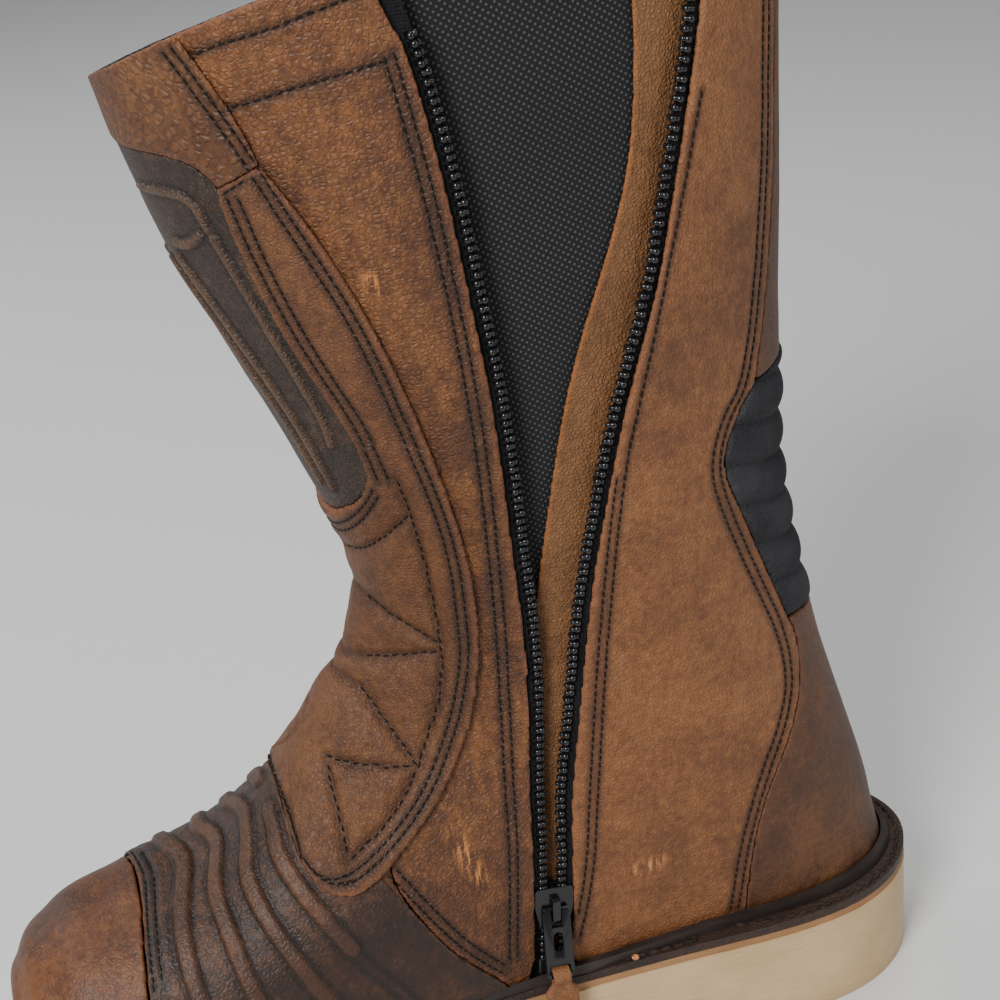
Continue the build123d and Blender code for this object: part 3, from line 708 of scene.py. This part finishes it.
zipEdged = ("front_quarter_inner", "rear_quarter_inner")
lipped = {"instep_guard": 0.4, "front_quarter_inner": 0.45, "rear_quarter_inner": 0.45, "wind_flap": 0.2}
pieces = {
    # the rear pieces get the lit copy of the tan leather, painted lighter
    "quarter_outer": ("tanLitRear", 1.25, 2.0, None),
    "rear_quarter_inner": ("tanLitRear", 0.95, 2.0, None),
    "front_quarter_inner": ("tanFront", 0.85, 2.0, None),
    "vamp": ("toeLeather", 1.1, 2.0, None),
    "toe_cap": ("toeLeather", 1.1, 2.0, None),
    "heel_cover": ("tanHeel", 1.1, 2.0, None),
    "backstay": ("tanHeel", 1.0, 2.0, None),
    "instep_guard": ("tanGuard", 0.75, 1.6, quiltShape),
    "front_cuff": ("tanCuff", 0.8, 1.6, None),
    "shin_panel": ("darkLeather", 0.5, 0.9, shinShape),
    "shift_pad": ("shiftLeather", 0.55, 0.9, padShape),
    "zip_facing_front": ("suede", 0.75, 2.8, None),
    "zip_facing_rear": ("suede", 0.75, 2.8, None),
    "wind_flap": ("suede", 0.65, 1.2, None),
}
made = {}
for name, (finish, voxel, thick, shape) in pieces.items():
    made[name] = leatherPiece(name, "boot", finish, voxel, thick, shape)
made["pull_strap"] = leatherPiece("pull_strap", "strap", "tanLitRear", 0.5, 2.0, None, 0.3)
made["flex_panel"] = leatherPiece("flex_panel", "boot", "flexFabric", 1.0, 2.0, flexShape, 0.4)


# linings

def cloth(name, longest, amount):
    mesh = remeshed(name, 0)
    bm = bmesh.new()
    bm.from_mesh(mesh)
    for _ in range(4):
        longEdges = [e for e in bm.edges if e.calc_length() > longest * mm]
        if not longEdges:
            break
        bmesh.ops.subdivide_edges(bm, edges=longEdges, cuts=1, use_grid_fill=True)
    bmesh.ops.triangulate(bm, faces=[f for f in bm.faces if len(f.verts) > 4])
    bm.to_mesh(mesh)
    bm.free()
    co, _ = spotsOf(mesh)
    moved = []
    for c in co:
        spot = Vector(c)
        away = spot - axisSpot(spot)
        away.z = 0
        slack = noise.noise(spot * 30) * 0.8 + noise.noise(spot * 75) * 0.3 - 0.5
        moved.append(spot + away.normalized() * slack * amount * mm)
    mesh.vertices.foreach_set("co", np.array([tuple(m) for m in moved], np.float32).ravel())
    mesh.update()
    return mesh


finishPiece("gusset_sheet", cloth("gusset", 5, 0.7), "boot", "blackMesh", "gusset")
finishPiece("lining_sheet", cloth("lining", 7, 0.2), "boot", "blackMesh", "lining")

# stitches along the seams

stitch = {"length": 2.25, "width": 0.62, "height": 0.5, "sink": 0.16}  # millimetres
skinTree = treeOf([made[name] for name in coverNames])


def capsule(length, width, height):
    bm = bmesh.new()
    bmesh.ops.create_uvsphere(bm, u_segments=6, v_segments=5, radius=0.5)
    bmesh.ops.rotate(bm, verts=bm.verts[:], matrix=Matrix.Rotation(math.pi / 2, 3, "Y"))
    bmesh.ops.scale(bm, verts=bm.verts[:], vec=(length * mm, width * mm, height * mm))
    mesh = bpy.data.meshes.new("capsule")
    bm.to_mesh(mesh)
    bm.free()
    return mesh


def posed(spot, along, out):
    along = (along - out * along.dot(out)).normalized()
    return Matrix((along, out.cross(along), out)).transposed().to_4x4(), spot


def copies(label, template, places, body, finish):
    bm = bmesh.new()
    for turn, spot in places:
        stamp = template.copy()
        stamp.transform(Matrix.Translation(spot) @ turn)
        bm.from_mesh(stamp)
        bpy.data.meshes.remove(stamp)
    mesh = bpy.data.meshes.new(label)
    bm.to_mesh(mesh)
    bm.free()
    obj = finishPiece(label, mesh, body, finish)
    return obj


places = []
for line, pitch in rows:
    picked = spaced(line, pitch)
    for a, b in zip(picked, picked[1:]):
        if a is None or b is None:
            continue
        middle = (a[0] + b[0]) / 2
        hit = skinTree.find_nearest(middle, 0.004)
        if hit[0] is None:
            continue
        out = a[1].normalized()
        lean = Matrix.Rotation(random.uniform(0.02, 0.16), 3, out)
        proud = (stitch["height"] / 2 - stitch["sink"]) * mm
        places.append(posed(hit[0] + out * proud, lean @ (b[0] - a[0]), out))
thread = capsule(stitch["length"], stitch["width"], stitch["height"])
copies("seam_stitches", thread, places, "boot", "thread")
print("stitches:", len(places))

# stitches round the welt, and the tack in it

weltTree = treeOf([nodes["welt"]])
rim = {}
for v in nodes["welt"].data.vertices:
    turn = round(math.degrees(math.atan2(v.co.y, (v.co.x + 0.02) * 0.4)) / 3)
    if turn not in rim or v.co.xy.length > rim[turn].xy.length:
        rim[turn] = v.co.copy()
ring = [rim[key] for key in sorted(rim)]
ring.append(ring[0])
weltLine = []
for p in smoothed([tuple(c / mm) for c in ring], 0.5, 2):
    inward = Vector((-0.02 + 0.6 * (p.x * mm + 0.02), 0, 0)) - Vector((p.x, p.y, 0)) * mm
    spot = Vector(p) * mm + inward.normalized() * 2.2 * mm
    hit = weltTree.ray_cast(spot + Vector((0, 0, 0.02)), Vector((0, 0, -1)))
    if hit[0] is not None:
        weltLine.append((hit[0], hit[1]))
weltStitch = {"pitch": 4.2, "length": 3.7, "width": 1.7, "height": 1.5}
weltPlaces = []
picked = spaced(weltLine, weltStitch["pitch"], 6.0)
for a, b in zip(picked, picked[1:]):
    if a is not None and b is not None:
        weltPlaces.append(posed((a[0] + b[0]) / 2 + a[1] * 0.15 * mm, b[0] - a[0], a[1]))
weltCord = capsule(weltStitch["length"], weltStitch["width"], weltStitch["height"])
copies("welt_stitches", weltCord, weltPlaces, "boot", "weltThread")

tack = min((p for p in weltLine if p[0].y < 0), key=lambda p: abs(p[0].x - 0.036))
tackOut = Vector((0, -0.8, 0.6))
tackPlace = posed(tack[0] + tackOut * 1.2 * mm, Vector((1, 0, 0)), tackOut)
copies("welt_tack", capsule(2.8, 2.8, 1.4), [tackPlace], "boot", "copper")

# zip teeth

toothSize = {"along": 1.5, "across": 3.4, "thick": 1.7, "round": 0.35, "dome": 1.2, "rise": 0.95}  # millimetres


def toothShape():
    bm = bmesh.new()
    block = Matrix.Diagonal((toothSize["along"] * mm, toothSize["across"] * mm, toothSize["thick"] * mm, 1))
    bmesh.ops.create_cube(bm, size=1, matrix=block)
    bmesh.ops.bevel(
        bm, geom=bm.edges[:], offset=toothSize["round"] * mm, affect="EDGES", segments=1, profile=0.5, material=-1,
    )
    dome = bmesh.ops.create_uvsphere(bm, u_segments=10, v_segments=6, radius=toothSize["dome"] * mm)["verts"]
    bmesh.ops.translate(bm, verts=dome, vec=(0, 0, toothSize["rise"] * mm))
    mesh = bpy.data.meshes.new("tooth")
    bm.to_mesh(mesh)
    bm.free()
    return mesh


tooth = toothShape()
for name in ("zip_teeth_front", "zip_teeth_rear"):
    centres = zipRows[name]
    places = []
    for i, c in enumerate(centres):
        along = centres[min(i + 1, len(centres) - 1)] - centres[max(i - 1, 0)]
        hit = skinTree.find_nearest(c)
        out = hit[1] if hit[1].y < 0 else -hit[1]
        out = (out + Vector((0, -1, 0))).normalized()
        places.append(posed(c, along, out))
    chain = copies(name + "_studs", tooth, places, "boot", "blackMoulding")
    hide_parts(name)
    print(name, len(centres))

# slider and pull, with their edges rounded

for name, body in (("zip_slider", "slider"), ("zip_pull", "pull")):
    part = finishPiece(name + "_moulding", remeshed(name, 0), body, "blackMoulding", name)
    rounding = part.modifiers.new("round", "BEVEL")
    rounding.width, rounding.segments, rounding.limit_method = 0.2 * mm, 2, "ANGLE"
    rounding.angle_limit, rounding.harden_normals = math.radians(40), True

# pieces of the frame that stay, with their finishes

kept = {
    "outsole": "creamRubber", "midsole": "tanRubber", "welt": "weltLeather", "welt_bead": "darkRubber",
    "shank": "steel", "cork_filler": "cork", "insole_board": "fibreBoard", "footbed": "foam",
    "toe_puff": "fibreBoard", "heel_stiffener": "fibreBoard", "shin_plate": "darkRubber", "shin_padding": "blackMesh",
    "ankle_disc_inner": "darkRubber", "ankle_disc_outer": "darkRubber", "collar_padding": "blackMesh",
    "zip_bottom_stop": "blackMoulding", "zip_tape_front": "zipTape", "zip_tape_rear": "zipTape",
}
for name, finish in kept.items():
    data = nodes[name].data
    data.materials.clear()
    data.materials.append(finishes[finish])

# floor, light and camera

floorMesh = bpy.data.meshes.new("floor")
bm = bmesh.new()
bmesh.ops.create_grid(bm, x_segments=1, y_segments=1, size=4)
bm.to_mesh(floorMesh)
bm.free()
floor = bpy.data.objects.new("floor", floorMesh)
bpy.context.scene.collection.objects.link(floor)
floorFinish = Finish("floorFinish", Roughness=0.85)
floorFinish.paint(floorFinish.mix(floorFinish.noise(3, 2) * 0.3, (0.62, 0.62, 0.61), (0.66, 0.66, 0.65)))
floorMesh.materials.append(floorFinish.material)

lights = {
    "key": ((-0.95, -1.05, 1.25), 0.6, 40),
    "fill": ((1.25, -0.9, 0.75), 1.0, 8),
    "top": ((0.25, 0.25, 1.7), 0.7, 12),
    "back": ((-0.9, 1.0, 0.9), 0.8, 8),
}
for name, (spot, size, power) in lights.items():
    data = bpy.data.lights.new(name, "AREA")
    data.size, data.energy = size, power
    lamp = bpy.data.objects.new(name, data)
    bpy.context.scene.collection.objects.link(lamp)
    lamp.location = spot
    lamp.rotation_euler = (Vector((0, 0, 0.17)) - Vector(spot)).to_track_quat("-Z", "Y").to_euler()
world = bpy.data.worlds.new("studio")
bpy.context.scene.world = world
world.use_nodes = True
world.node_tree.nodes["Background"].inputs[0].default_value = (0.9, 0.93, 1.0, 1)
world.node_tree.nodes["Background"].inputs[1].default_value = 0.17

view = {"rise": 26.81, "round": -13.177, "roll": 5.615, "lens": 72.0, "spot": (-0.107684, -0.523791, 0.463616)}
rise, around, lean = (math.radians(view[key]) for key in ("rise", "round", "roll"))
back = Vector((math.sin(around) * math.cos(rise), -math.cos(around) * math.cos(rise), math.sin(rise)))
right = (-back).cross(Vector((0, 0, 1))).normalized()
up = right.cross(-back)
rollRight = math.cos(lean) * right - math.sin(lean) * up
rollUp = math.sin(lean) * right + math.cos(lean) * up
lensData = bpy.data.cameras.new("camera")
lensData.lens, lensData.sensor_width = view["lens"], 36.0
camera = bpy.data.objects.new("camera", lensData)
bpy.context.scene.collection.objects.link(camera)
camera.matrix_world = Matrix.Translation(view["spot"]) @ Matrix((rollRight, rollUp, back)).transposed().to_4x4()
bpy.context.scene.camera = camera
print("light and camera set")
